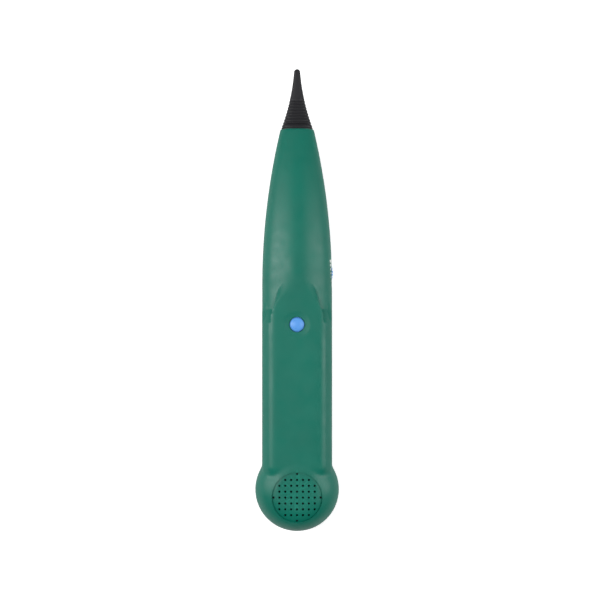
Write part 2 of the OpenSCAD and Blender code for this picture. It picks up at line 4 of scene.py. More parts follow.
import bpy
import numpy as np
from bpy.props import FloatProperty, FloatVectorProperty, IntProperty, PointerProperty
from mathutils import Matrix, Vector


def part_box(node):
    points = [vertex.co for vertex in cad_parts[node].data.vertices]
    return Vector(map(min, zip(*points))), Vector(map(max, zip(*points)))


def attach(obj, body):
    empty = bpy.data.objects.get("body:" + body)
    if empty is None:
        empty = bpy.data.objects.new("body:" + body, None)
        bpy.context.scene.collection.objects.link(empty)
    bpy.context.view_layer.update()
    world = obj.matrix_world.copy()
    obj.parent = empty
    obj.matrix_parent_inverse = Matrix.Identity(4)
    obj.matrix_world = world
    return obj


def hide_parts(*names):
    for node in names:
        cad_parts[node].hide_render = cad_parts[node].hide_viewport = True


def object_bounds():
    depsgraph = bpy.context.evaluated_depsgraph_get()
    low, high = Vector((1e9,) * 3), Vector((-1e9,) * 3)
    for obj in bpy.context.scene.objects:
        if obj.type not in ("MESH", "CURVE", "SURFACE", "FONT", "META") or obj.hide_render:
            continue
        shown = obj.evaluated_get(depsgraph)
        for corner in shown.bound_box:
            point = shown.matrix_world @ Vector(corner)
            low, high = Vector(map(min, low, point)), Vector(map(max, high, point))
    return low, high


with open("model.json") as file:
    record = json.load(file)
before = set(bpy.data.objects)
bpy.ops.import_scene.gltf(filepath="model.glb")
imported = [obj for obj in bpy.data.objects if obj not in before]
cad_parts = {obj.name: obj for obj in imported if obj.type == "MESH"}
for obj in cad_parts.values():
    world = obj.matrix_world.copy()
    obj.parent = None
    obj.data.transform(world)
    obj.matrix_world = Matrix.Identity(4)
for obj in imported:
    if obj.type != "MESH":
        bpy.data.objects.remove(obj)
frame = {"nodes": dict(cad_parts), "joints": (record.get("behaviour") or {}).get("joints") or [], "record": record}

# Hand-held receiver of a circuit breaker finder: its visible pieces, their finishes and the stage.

bl_info = {
    "name": "Circuit breaker finder receiver",
    "version": (1, 0, 0),
    "blender": (4, 5, 0),
    "location": "View3D > Sidebar > Finder",
    "description": "Models the housing, tip and controls of a circuit breaker finder",
    "category": "Add Mesh",
}

CAD_BOX = [list(corner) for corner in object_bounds()]
MM = 0.001

# The tool's own coordinates are millimetres: x across, y from the tail, z over the parting plane.
SHELL_LOW, SHELL_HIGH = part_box("front_shell")
TAIL_Y = SHELL_LOW[1] / MM
MID_Z = SHELL_LOW[2] / MM
HOUSING_L = (SHELL_HIGH[1] - SHELL_LOW[1]) / MM
BULB_R = (SHELL_HIGH[0] - SHELL_LOW[0]) / 2 / MM
BULB_H = MID_Z
OVERALL_L = (CAD_BOX[1][1] - CAD_BOX[0][1]) / MM
TURN = 2 * math.pi


def srgb(red, green, blue):
    """A linear colour from the 0 to 255 values of a display."""
    def channel(value):
        share = value / 255
        return share / 12.92 if share <= 0.04045 else ((share + 0.055) / 1.055) ** 2.4
    return (channel(red), channel(green), channel(blue))


def length(label, text, millimetres):
    """A length property with its default in millimetres."""
    return FloatProperty(name=label, description=text, default=millimetres * MM, unit="LENGTH",
                         precision=5)


def colour(label, text, value):
    """A colour property."""
    return FloatVectorProperty(name=label, description=text, default=value, subtype="COLOR",
                               size=3, min=0.0, max=1.0)


class FINDER_PG_sizes(bpy.types.PropertyGroup):
    """Sizes of the visible pieces"""
    wall: length("Wall", "Thickness of the two housing shells", 2.0)
    parting_groove: length("Parting groove", "Depth of the line where the shells meet", 0.18)
    mouth_round: length("Mouth rounding", "Radius of the housing's edge at the probe tip", 1.1)
    door_sunk: length("Door sunk", "How far the battery door lies below the housing", 0.3)
    door_gap: length("Door gap", "Gap around the battery door", 0.25)
    finger_dip: length("Finger dip", "Depth of the finger recess in the battery door", 0.55)
    dish_depth: length("Grille dish", "Depth of the dish around the speaker grille", 0.75)
    grille_pitch: length("Grille pitch", "Distance between two grille holes", 3.2)
    grille_hole: length("Grille hole", "Diameter of a grille hole", 1.25)
    dimple_depth: length("Button dimple", "Depth of the dimple around the button", 0.55)
    button_gap: length("Button gap", "Gap around the push button", 0.3)
    rib_pitch: length("Rib pitch", "Distance between two ribs of the probe tip", 1.65)
    rib_height: length("Rib height", "Height of the ribs of the probe tip", 0.32)
    ridges: IntProperty(name="Wheel ridges", description="Ridges round the volume wheel",
                        default=42, min=20, max=80)


class FINDER_PG_colours(bpy.types.PropertyGroup):
    """Colours of the visible pieces"""
    housing: colour("Housing", "Moulded plastic of the housing", srgb(4, 114, 96))
    control: colour("Controls", "Push button and volume wheel", srgb(96, 166, 246))
    tip: colour("Probe tip", "Rubber of the probe tip", srgb(30, 30, 34))
    marks: colour("Marks", "Printed level dots", srgb(240, 244, 240))
    floor: colour("Floor", "Surface that the tool lies on", srgb(244, 244, 244))


# ---------------------------------------------------------------- shape of the housing

GRIP_HALF_W = 19.2
GRIP_HALF_D = 13.4
NOSE_W_START, NOSE_W_ARC = 135.0, 371.0
NOSE_D_START, NOSE_D_ARC = 151.0, 324.0
BULB_FLAT_R = 9.3
# Edges of the flat front pad and of the side pads
PAD_HALF_W, PAD_HALF_D = 14.7, 8.3
BUTTON_Y = (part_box("button_cap")[0][1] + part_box("button_cap")[1][1]) / 2 / MM - TAIL_Y
BUTTON_R = 3.9
DIMPLE_R = 7.2
SPEAKER_Y, DISH_R = 19.7, 13.75
DOOR_Y = 36.9
DOOR_END = 103.4
DOOR_WRAP_Z = -9.4
TONGUE_X, TONGUE_HALF_W = 9, 3
BAY_HALF_W, BAY_LEDGE_W = 13.6, 16.6
POST_X, POST_Y = 10.5, 97
SCREW_R, POST_R = 1.15, 2.8
JACK_HOLE_R = 3.65
# Points of a section lie closer together near the parting plane than round an even circle
SIDE_CROWDING = 0.72


def smooth(value):
    """A smooth step from 0 to 1."""
    share = np.clip(value, 0, 1)
    return share * share * (3 - 2 * share)


def sagitta(radius, distance):
    """How far a circle falls away along its tangent."""
    reach = np.maximum(distance, 0)
    return radius - np.sqrt(radius * radius - reach * reach)


def half_width(y):
    return GRIP_HALF_W - sagitta(NOSE_W_ARC, y - NOSE_W_START)


def half_depth(y):
    return GRIP_HALF_D - sagitta(NOSE_D_ARC, y - NOSE_D_START)


def oval_radius(angle, w, d, power):
    """Distance from the axis to an oval section."""
    return ((np.abs(np.cos(angle)) / w) ** power
            + (np.abs(np.sin(angle)) / d) ** power) ** (-1 / power)


def padded_radius(angle, w, d, inset):
    """Distance from the axis to the grip's section: flat pads with bevelled corners."""
    c, s = np.abs(np.cos(angle)), np.abs(np.sin(angle))
    slope_x, slope_z = GRIP_HALF_D - PAD_HALF_D, GRIP_HALF_W - PAD_HALF_W
    size = math.hypot(slope_x, slope_z)
    normal_x, normal_z = slope_x / size, slope_z / size
    corner = PAD_HALF_W * normal_x + GRIP_HALF_D * normal_z - inset
    crispness = 26
    return ((c / w) ** crispness + (s / d) ** crispness
            + ((c * normal_x + s * normal_z) / corner) ** crispness) ** (-1 / crispness)


def bulb_radius(angle, y, inset):
    """Distance from the axis to the bulb's section, by halving an interval."""
    edge = BULB_R - BULB_FLAT_R - inset
    tall = BULB_H - inset
    along = y - BULB_R
    low, high = np.zeros_like(angle), np.full_like(angle, 2 * BULB_R)
    for _ in range(34):
        middle = (low + high) / 2
        out = np.hypot(middle * np.cos(angle), along)
        beyond = np.maximum(out - BULB_FLAT_R, 0) / edge
        inside = beyond ** 2 + (middle * np.sin(angle) / tall) ** 2 < 1
        low, high = np.where(inside, middle, low), np.where(inside, high, middle)
    return low


def body_point(angle, y, inset, dimple=0.0):
    """Points on the housing's surface, inset by a distance, at angles round its axis."""
    w, d = half_width(y) - inset, half_depth(y) - inset
    oval = oval_radius(angle, w, d, 2.1)
    pads = padded_radius(angle, w, d, inset)
    pad_x, pad_z = np.abs(pads * np.cos(angle)), np.abs(pads * np.sin(angle))
    front_arch = np.sqrt(np.clip(1 - (pad_x / PAD_HALF_W) ** 2, 0, 1))
    side_arch = np.sqrt(np.clip(1 - (pad_z / PAD_HALF_D) ** 2, 0, 1))
    pad_end = 114.5 + 17.5 * front_arch + 6.2 * side_arch
    slope_l = 7.5
    share = 1 - np.clip((y - pad_end) / slope_l, 0, 1)
    share = share * smooth((y - 27) / 9)
    loft = oval + (pads - oval) * share
    loft = np.where(y > 19, loft, 0)
    bulb = np.where(y < 2 * BULB_R, bulb_radius(angle, np.minimum(y, 2 * BULB_R), inset), 0)
    blend = 1.0
    near = np.maximum(blend - np.abs(loft - bulb), 0) / blend
    radius = np.maximum(loft, bulb) + near * near * blend / 4
    radius = np.minimum(radius, (BULB_H - inset) / np.maximum(np.abs(np.sin(angle)), 1e-3))
    x, z = radius * np.cos(angle), radius * np.sin(angle)
    if dimple:
        away = np.hypot(x, y - BUTTON_Y) / DIMPLE_R
        z = np.where((z > 0) & (away < 1), z - dimple * (1 - away ** 2), z)
    return x, z


# ---------------------------------------------------------------- tools of the workshop


def to_frame(x, y, z):
    """Rows of points in metres in the frame, from the tool's own millimetres."""
    return np.stack([x, y + TAIL_Y, z + MID_Z], axis=-1) * MM


def spot(x, y, z):
    """One point in metres in the frame."""
    return (x * MM, (y + TAIL_Y) * MM, (z + MID_Z) * MM)


def only(piece):
    """Selects one object and makes it active."""
    bpy.ops.object.select_all(action="DESELECT")
    piece.select_set(True)
    bpy.context.view_layer.objects.active = piece


def edit_all(piece, *steps):
    """Runs edit-mode steps on the whole mesh."""
    only(piece)
    bpy.ops.object.mode_set(mode="EDIT")
    bpy.ops.mesh.select_all(action="SELECT")
    for step in steps:
        step()
    bpy.ops.object.mode_set(mode="OBJECT")


def settle(piece):
    """Puts a new piece's place into its mesh."""
    only(piece)
    bpy.ops.object.transform_apply(location=True, rotation=True, scale=True)
    return piece


def finish_piece(piece, name, material, body, angle=32):
    """Names, shades and paints a piece, and ties it to its body."""
    piece.name = name
    piece.data.name = name
    only(piece)
    bpy.ops.object.shade_smooth_by_angle(angle=math.radians(angle))
    piece.data.materials.clear()
    piece.data.materials.append(material)
    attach(piece, body)
    return piece


def close_seams():
    bpy.ops.mesh.remove_doubles(threshold=0.004 * MM)


def drop_slivers():
    bpy.ops.mesh.dissolve_degenerate(threshold=0.0005 * MM)


def face_out():
    bpy.ops.mesh.normals_make_consistent(inside=False)


def woven_grid(columns, rows, place):
    """A grid primitive whose points go where place(column, row) says; its seams are closed."""
    bpy.ops.object.select_all(action="DESELECT")
    bpy.ops.mesh.primitive_grid_add(x_subdivisions=columns, y_subdivisions=rows, size=1)
    piece = bpy.context.object
    count = len(piece.data.vertices)
    flat = np.zeros(count * 3)
    piece.data.vertices.foreach_get("co", flat)
    flat = flat.reshape(-1, 3)
    column = np.rint((flat[:, 0] + 0.5) * columns).astype(int)
    row = np.rint((flat[:, 1] + 0.5) * rows).astype(int)
    piece.data.vertices.foreach_set("co", place(column, row).ravel())
    edit_all(piece, close_seams, drop_slivers, face_out)
    return piece


def turned(profile, sides, centre, axis="Z"):
    """A shape turned from (radius, height) points round an axis through a centre."""
    radii, heights = np.array(profile, float).T

    def place(column, row):
        angle = TURN * column / sides
        r, h = radii[row], heights[row]
        first, second = r * np.cos(angle), r * np.sin(angle)
        local = {"Z": (first, second, h), "X": (h, first, second), "Y": (first, h, second)}[axis]
        return to_frame(local[0] + centre[0], local[1] + centre[1], local[2] + centre[2])

    return woven_grid(sides, len(profile) - 1, place)


def rounded(profile, radius, steps=5):
    """The same (radius, height) outline with its inner corners rounded by arcs."""
    points = [profile[0]]
    for before, corner, after in zip(profile, profile[1:], profile[2:]):
        back = np.subtract(before, corner)
        ahead = np.subtract(after, corner)
        reach = min(radius, np.linalg.norm(back) / 2.05, np.linalg.norm(ahead) / 2.05)
        start = np.add(corner, back / np.linalg.norm(back) * reach)
        end = np.add(corner, ahead / np.linalg.norm(ahead) * reach)
        for step in range(steps + 1):
            t = step / steps
            points.append(tuple((1 - t) ** 2 * start + 2 * t * (1 - t) * np.array(corner) + t * t * end))
    points.append(profile[-1])
    return points


def block(low, high, bevel=0.0):
    """A box between two corners in the tool's millimetres, with bevelled edges."""
    bpy.ops.object.select_all(action="DESELECT")
    middle = [(a + b) / 2 for a, b in zip(low, high)]
    bpy.ops.mesh.primitive_cube_add(size=1, location=spot(*middle))
    piece = bpy.context.object
    piece.scale = [(b - a) * MM for a, b in zip(low, high)]
    settle(piece)
    if bevel:
        edit_all(piece, lambda: bpy.ops.mesh.bevel(offset=bevel * MM, segments=3))
    return piece


def rod(centre, radius, low, high, axis="Z", sides=48):
    """A plain round cutter along an axis."""
    place = {"Z": (centre[0], centre[1], 0), "X": (0, centre[0], centre[1])}[axis]
    return turned([(0, low), (radius, low), (radius, high), (0, high)], sides, place, axis)


def joined(pieces):
    """One object from several."""
    bpy.ops.object.select_all(action="DESELECT")
    for piece in pieces:
        piece.select_set(True)
    bpy.context.view_layer.objects.active = pieces[0]
    bpy.ops.object.join()
    return bpy.context.object


def carve(piece, cutter, operation="DIFFERENCE"):
    """Cuts one piece with another, which is used up."""
    cut = piece.modifiers.new("cut", "BOOLEAN")
    cut.object, cut.operation, cut.solver = cutter, operation, "EXACT"
    only(piece)
    bpy.ops.object.modifier_apply(modifier=cut.name)
    bpy.data.objects.remove(cutter, do_unlink=True)
    return piece


# ---------------------------------------------------------------- finishes


def new_material(name, base, roughness):
    """A material with its principled shader, and shortcuts to both."""
    material = bpy.data.materials.new(name)
    material.use_nodes = True
    shader = material.node_tree.nodes["Principled BSDF"]
    shader.inputs["Base Color"].default_value = (*base, 1)
    shader.inputs["Roughness"].default_value = roughness
    return material, material.node_tree, shader


def noise_of(tree, scale, detail, coords):
    node = tree.nodes.new("ShaderNodeTexNoise")
    node.inputs["Scale"].default_value = scale
    node.inputs["Detail"].default_value = detail
    tree.links.new(coords, node.inputs["Vector"])
    return node.outputs["Fac"]


def ranged(tree, value, low, high, from_low=0.3, from_high=0.7):
    node = tree.nodes.new("ShaderNodeMapRange")
    node.inputs["From Min"].default_value = from_low
    node.inputs["From Max"].default_value = from_high
    node.inputs["To Min"].default_value = low
    node.inputs["To Max"].default_value = high
    tree.links.new(value, node.inputs["Value"])
    return node.outputs["Result"]


def mixed(tree, share, first, second):
    node = tree.nodes.new("ShaderNodeMix")
    node.data_type = "RGBA"
    tree.links.new(share, node.inputs["Factor"])
    for socket, value in ((node.inputs["A"], first), (node.inputs["B"], second)):
        if isinstance(value, tuple):
            socket.default_value = (*value, 1)
        else:
            tree.links.new(value, socket)
    return node.outputs["Result"]


def tinted(base, factor):
    return tuple(min(1.0, part * factor) for part in base)


def grained(name, base, roughness, grain_scale, grain_depth, spread=0.12, edge_wear_and_highlight=0.3, specular=0.5):
    """A moulded or cast finish: mottled colour, fine grain, uneven gloss, and edges painted lighter, partly as
    wear and partly as a painted highlight.
    """
    material, tree, shader = new_material(name, base, roughness)
    coords = tree.nodes.new("ShaderNodeTexCoord").outputs["Object"]
    mottle = noise_of(tree, 55, 4, coords)
    body = mixed(tree, ranged(tree, mottle, 0, 1), tinted(base, 1 - spread), tinted(base, 1 + spread))
    # Convex edges are painted lighter: partly edge wear, partly a painted highlight standing in for light catching
    # the edges
    edge = ranged(tree, tree.nodes.new("ShaderNodeNewGeometry").outputs["Pointiness"], 0, edge_wear_and_highlight, 0.54, 0.66)
    scuffed_and_highlit = mixed(tree, edge, body, tinted(base, 1.9))
    tree.links.new(scuffed_and_highlit, shader.inputs["Base Color"])
    smear = noise_of(tree, 160, 5, coords)
    tree.links.new(ranged(tree, smear, roughness - 0.05, roughness + 0.07), shader.inputs["Roughness"])
    shader.inputs["Specular IOR Level"].default_value = specular
    bump = tree.nodes.new("ShaderNodeBump")
    bump.inputs["Strength"].default_value = 0.55
    bump.inputs["Distance"].default_value = grain_depth * MM
    tree.links.new(noise_of(tree, grain_scale, 3, coords), bump.inputs["Height"])
    tree.links.new(bump.outputs["Normal"], shader.inputs["Normal"])
    return material


def metal(name, base, roughness, brushed_scale):
    """A plated or drawn metal with fine streaks in its gloss."""
    material, tree, shader = new_material(name, base, roughness)
    shader.inputs["Metallic"].default_value = 1.0
    coords = tree.nodes.new("ShaderNodeTexCoord").outputs["Object"]
    streaks = noise_of(tree, brushed_scale, 6, coords)
    tree.links.new(ranged(tree, streaks, roughness - 0.07, roughness + 0.1), shader.inputs["Roughness"])
    tone = mixed(tree, ranged(tree, noise_of(tree, 400, 3, coords), 0, 1), tinted(base, 0.85), base)
    tree.links.new(tone, shader.inputs["Base Color"])
    return material


def banded(name, low_colour, high_colour, axis, edge_mm, roughness):
    """A printed sleeve with two plain colours, one below and one above a height."""
    material, tree, shader = new_material(name, low_colour, roughness)
    coords = tree.nodes.new("ShaderNodeTexCoord").outputs["Object"]
    parts = tree.nodes.new("ShaderNodeSeparateXYZ")
    tree.links.new(coords, parts.inputs["Vector"])
    edge = ranged(tree, parts.outputs[axis], 0, 1, edge_mm * MM - 0.0001, edge_mm * MM + 0.0001)
    tree.links.new(mixed(tree, edge, low_colour, high_colour), shader.inputs["Base Color"])
    scuffs = noise_of(tree, 300, 5, coords)
    tree.links.new(ranged(tree, scuffs, roughness - 0.08, roughness + 0.1), shader.inputs["Roughness"])
    return material


FINISHES = {}


def make_finishes(colours):
    """Every finish of the tool, by name."""
    FINISHES.update({
        "housing": grained("green moulded plastic", tuple(colours.housing), 0.4, 2600, 0.012, 0.05, 0.3, 0.4),
        "control": grained("light blue moulded plastic", tuple(colours.control), 0.38, 2600, 0.01, 0.05),
        "tip": grained("black probe rubber", tuple(colours.tip), 0.5, 3200, 0.02, 0.25, 0.25, 0.4),
        "marks": grained("white pad print", tuple(colours.marks), 0.55, 6000, 0.004, 0.03, 0.0),
        "inner_plastic": grained("black inner plastic", srgb(34, 34, 36), 0.5, 2000, 0.02, 0.2),
        "white_plastic": grained("natural plastic", srgb(224, 222, 208), 0.45, 2000, 0.01, 0.04),
        "foam": grained("grey foam", srgb(52, 52, 55), 0.9, 1500, 0.25, 0.3, 0.2, 0.2),
        "board": grained("green solder mask", srgb(24, 92, 50), 0.3, 1200, 0.02, 0.15),
        "copper": grained("enamelled copper wire", srgb(190, 98, 46), 0.3, 5000, 0.05, 0.15),
        "lead": grained("red wire insulation", srgb(170, 30, 28), 0.4, 1500, 0.01, 0.06),
        "ferrite": grained("sintered ferrite", srgb(58, 58, 62), 0.6, 1800, 0.03, 0.2),
        "can": banded("battery sleeve", srgb(36, 38, 44), srgb(196, 150, 60), "Y", -50.0, 0.35),
        "steel": metal("zinc plated steel", srgb(200, 202, 206), 0.32, 3000),
        "chrome": metal("nickel plating", srgb(214, 214, 212), 0.18, 2500),
        "brass": metal("plated brass", srgb(206, 172, 92), 0.25, 2500),
    })


def finish_cad_nodes():
    """The CAD nodes that stay as they are get the finish of their material slot."""
    for part in frame["record"]["subparts"]:
        node = frame["nodes"][part["node"]]
        node.data.materials.clear()
        node.data.materials.append(FINISHES[part["material_slot"]])


# ---------------------------------------------------------------- housing shells

ROUND_STEPS = 104
# How much a section shrinks at the mouth for each millimetre of rounding
MOUTH_SHRINK = 0.11


def rows_along():
    """Places along the housing: close together on the round tail and round the pads' ends."""
    tail = [BULB_R * (1 - math.cos(math.pi / 2 * step / 26)) for step in range(26)]
    grip = list(np.arange(BULB_R, 104, 1.3))
    pads = list(np.arange(104, 136, 0.55))
    nose = list(np.arange(136, HOUSING_L - 1.4, 1.5))
    mouth = list(np.linspace(HOUSING_L - 1.3, HOUSING_L, 6))
    return np.array(tail + grip + pads + nose + mouth)


def half_housing(side, sizes):
    """One shell: an outer and an inner skin that meet at the parting plane and the mouth."""
    outer_y = rows_along()
    wall = sizes.wall / MM
    inner_y = wall + outer_y * (HOUSING_L - wall) / HOUSING_L
    rows = len(outer_y)
    n = ROUND_STEPS
    groove, round_r = sizes.parting_groove / MM, sizes.mouth_round / MM
    dimple = sizes.dimple_depth / MM if side > 0 else 0.0

    def place(column, row):
        last = row >= rows
        row = np.minimum(row, rows - 1)
        outside = column <= n
        step = np.where(outside, column, 2 * n + 1 - column)
        step = np.where(column == 2 * n + 2, 0, step)
        outside = outside | (column == 2 * n + 2)
        t = math.pi * step / n
        angle = np.arctan2(SIDE_CROWDING * np.sin(t), np.cos(t))
        y = np.where(outside, outer_y[row], inner_y[row])
        out_x, out_z = body_point(angle, y, 0.0, dimple)
        in_x, in_z = body_point(angle, y, wall, dimple)
        into_round = np.clip((y - (HOUSING_L - round_r)) / round_r, 0, 1)
        shrink = 1 - MOUTH_SHRINK * round_r * (1 - np.sqrt(1 - into_round ** 2))
        edge = np.where((step == 0) | (step == n), groove, 0)
        out_x = out_x * shrink - np.sign(out_x) * edge
        out_z = out_z * shrink
        x, z = np.where(outside, out_x, in_x), np.where(outside, out_z, in_z)
        mid_x, mid_z = (out_x + in_x) / 2, (out_z + in_z) / 2
        x, z = np.where(last, mid_x, x), np.where(last, mid_z, z)
        return to_frame(x, y, side * z)

    return woven_grid(2 * n + 2, rows, place)


def grille_cutter(sizes):
    """The round holes of the speaker grille, one in each place of a round field of squares."""
    pitch, radius = sizes.grille_pitch / MM, sizes.grille_hole / MM / 2
    field = [(i, j) for i in range(-4, 5) for j in range(-4, 5) if i * i + j * j <= 16]
    holes = [rod((i * pitch, SPEAKER_Y + j * pitch), radius, 7, 16, sides=20) for i, j in field]
    return joined(holes)


def dish_cutter(sizes):
    """What the shallow dish around the grille takes away."""
    depth = sizes.dish_depth / MM
    edge, tall = BULB_R - BULB_FLAT_R - depth, BULB_H - depth
    arc = [(BULB_FLAT_R + edge * math.cos(a), tall * math.sin(a))
           for a in np.linspace(0, math.pi / 2, 30)]
    core = turned([(0, 0)] + arc + [(0, tall)], 96, (0, BULB_R, 0))
    disc = rod((0, SPEAKER_Y), DISH_R, 4, 20, sides=128)
    return carve(disc, core)


def wheel_slot():
    low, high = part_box("volume_wheel")
    centre_y = (low[1] + high[1]) / 2 / MM - TAIL_Y
    wheel_low = low[2] / MM - MID_Z
    return block((14.5, centre_y - 8, wheel_low - 0.4), (30, centre_y + 8, wheel_low + 4.4))


class FINDER_OT_front_housing(bpy.types.Operator):
    """Front shell with its pads, grille, button hole and wheel slot"""
    bl_idname = "finder.front_housing"
    bl_label = "Front housing"

    def execute(self, context):
        sizes = context.scene.finder_sizes
        shell = half_housing(1, sizes)
        carve(shell, dish_cutter(sizes))
        carve(shell, grille_cutter(sizes))
        carve(shell, rod((0, BUTTON_Y), BUTTON_R + sizes.button_gap / MM, 6, 20, sides=96))
        carve(shell, wheel_slot())
        finish_piece(shell, "front_housing", FINISHES["housing"], "housing")
        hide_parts("front_shell")
        return {"FINISHED"}


class FINDER_OT_back_housing(bpy.types.Operator):
    """Back shell with its door opening, wheel slot and jack hole"""
    bl_idname = "finder.back_housing"
    bl_label = "Back housing"

    def execute(self, context):
        sizes = context.scene.finder_sizes
        shell = half_housing(-1, sizes)
        gap = sizes.door_gap / MM
        carve(shell, block((-30, DOOR_Y - gap, -30), (30, DOOR_END + gap, DOOR_WRAP_Z + gap)))
        carve(shell, wheel_slot())
        jack_low, jack_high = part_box("jack_ferrule")
        jack = [(a + b) / 2 / MM for a, b in zip(jack_low, jack_high)]
        carve(shell, rod((jack[1] - TAIL_Y, jack[2] - MID_Z), JACK_HOLE_R, -30, -15.5, "X", 72))
        finish_piece(shell, "back_housing", FINISHES["housing"], "housing")
        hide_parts("back_shell")
        return {"FINISHED"}


class FINDER_OT_battery_door(bpy.types.Operator):
    """Battery door that wraps the back's corners, with its finger dip and tongues"""
    bl_idname = "finder.battery_door"
    bl_label = "Battery door"

    def execute(self, context):
        sizes = context.scene.finder_sizes
        sunk, wall = sizes.door_sunk / MM, sizes.wall / MM
        along = np.concatenate([np.arange(DOOR_Y, DOOR_END, 0.9), [DOOR_END]])
        rows, n = len(along) - 1, ROUND_STEPS

        def place(column, row):
            cap = (row == 0) | (row == rows + 2)
            y = along[np.clip(row - 1, 0, rows)]
            outside = (column <= n) | (column == 2 * n + 2)
            step = np.where(column <= n, column, 2 * n + 1 - column)
            step = np.where(column == 2 * n + 2, 0, step)
            t = math.pi * step / n
            angle = np.arctan2(SIDE_CROWDING * np.sin(t), np.cos(t))
            dip = sizes.finger_dip / MM * smooth((60 - y) / 15) * (1 - smooth((43.5 - y) / 2.2))
            out_x, out_z = body_point(angle, y, sunk)
            out_z = out_z * (1 - dip / GRIP_HALF_D)
            in_x, in_z = body_point(angle, y, sunk + wall)
            mid_x, mid_z = (out_x + in_x) / 2, (out_z + in_z) / 2
            x = np.where(cap, mid_x, np.where(outside, out_x, in_x))
            z = np.where(cap, mid_z, np.where(outside, out_z, in_z))
            return to_frame(x, y, -z)

        door = woven_grid(2 * n + 2, rows + 2, place)
        edit_all(door, lambda: bpy.ops.mesh.bisect(
            plane_co=spot(0, 0, DOOR_WRAP_Z), plane_no=(0, 0, 1), clear_outer=True, use_fill=True))
        foam_low, foam_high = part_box("door_foam")
        bed = foam_low[2] / MM - MID_Z
        carve(door, block(
            (foam_low[0] / MM - 0.2, foam_low[1] / MM - TAIL_Y - 0.2, bed - 0.02),
            (foam_high[0] / MM + 0.2, foam_high[1] / MM - TAIL_Y + 0.2, bed + 5)))
        floor_z = -(GRIP_HALF_D - sunk - wall)
        tongues = [block((x - TONGUE_HALF_W, DOOR_END - 2.5, floor_z - 0.05),
                         (x + TONGUE_HALF_W, DOOR_END + 2.1, floor_z + 1.15), 0.25)
                   for x in (-TONGUE_X, TONGUE_X)]
        door = joined([door] + tongues)
        finish_piece(door, "door_panel", FINISHES["housing"], "door")
        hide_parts("battery_door")
        return {"FINISHED"}


class FINDER_OT_battery_bay(bpy.types.Operator):
    """Walls, side ledges and screw posts of the battery bay behind the door"""
    bl_idname = "finder.battery_bay"
    bl_label = "Battery bay"

    def execute(self, context):
        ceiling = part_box("battery")[1][2] / MM - MID_Z + 0.1
        wall, gap = 1, 0.25
        outer = block((-BAY_HALF_W - wall, DOOR_Y - wall - gap, -11.2),
                      (BAY_HALF_W + wall, DOOR_END + wall + gap, ceiling + wall))
        carve(outer, block((-BAY_HALF_W, DOOR_Y - gap, -30), (BAY_HALF_W, DOOR_END + gap, ceiling), 0.6))
        carve(outer, block((-30, DOOR_Y - gap, -30), (30, DOOR_END + gap, DOOR_WRAP_Z + gap)))
        for x in (-TONGUE_X, TONGUE_X):
            slot_w = TONGUE_HALF_W + 0.3
            carve(outer, block((x - slot_w, DOOR_END - 1, -11.35), (x + slot_w, DOOR_END + 3, -8.7)))
        ledges = [block((low, DOOR_Y - 0.2, -9.15), (high, DOOR_END + 0.2, -8.1), 0.2)
                  for low, high in ((-BAY_LEDGE_W, -BAY_HALF_W - wall), (BAY_HALF_W + wall, BAY_LEDGE_W))]
        post = rounded([(SCREW_R, -4), (POST_R, -4), (POST_R, ceiling), (SCREW_R, ceiling), (SCREW_R, -4)],
                       0.3)
        posts = [turned(post, 40, (x, POST_Y, 0)) for x in (-POST_X, POST_X)]
        bay = joined([outer] + ledges + posts)
        finish_piece(bay, "battery_bay", FINISHES["housing"], "housing")
        return {"FINISHED"}


# ---------------------------------------------------------------- tip and controls


class FINDER_OT_probe_tip(bpy.types.Operator):
    """Flat flexible probe tip with a flared, ribbed foot"""
    bl_idname = "finder.probe_tip"
    bl_label = "Probe tip"

    def execute(self, context):
        sizes = context.scene.finder_sizes
        bare = OVERALL_L - HOUSING_L
        pitch, height = sizes.rib_pitch / MM, sizes.rib_height / MM
        tip_round, stalk_inset = 1.6, 2.2
        near = tip_round * (1 - np.cos(np.linspace(0, math.pi / 2, 12)))
        middle = np.arange(tip_round + 0.2, bare - 0.3, 0.15)
        distance = np.concatenate([near, middle, [bare - 0.3, bare + 6]])
        sides, rows = 72, len(distance)

        def place(column, row):
            s = distance[np.clip(row - 1, 0, rows - 1)]
            end = np.sqrt(np.clip(1 - (np.maximum(tip_round - s, 0) / tip_round) ** 2, 0, 1))
            w = 1.6 + 0.065 * s + 0.0046 * s * s
            d = 1.15 + 0.05 * s + 0.0006 * s * s
            ribbed = smooth((s - (bare - 17)) / 3)
            wave = np.abs(np.sin(math.pi * s / pitch))
            rib = np.minimum(height * ribbed * (1 - wave ** 0.7 * 1.6), 0.15)
            w, d = w + rib * 0.8, d + rib
            foot = smooth((s - (bare - 3.0)) / 0.6)
            d = d + 0.9 * foot
            inside = s > bare
            w = np.where(inside, half_width(HOUSING_L) - stalk_inset, w)
            d = np.where(inside, half_depth(HOUSING_L) - stalk_inset, d)
            closed = (row == 0) | (row == rows + 1)
            keep = np.where(closed, 0, end)
            angle = TURN * column / sides
            power = 2.6
            radius = oval_radius(angle, w, d, power) * keep
            return to_frame(radius * np.cos(angle), OVERALL_L - s, radius * np.sin(angle))

        tip = woven_grid(sides, rows + 1, place)
        finish_piece(tip, "probe_sleeve", FINISHES["tip"], "housing", 40)
        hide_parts("probe_tip")
        return {"FINISHED"}


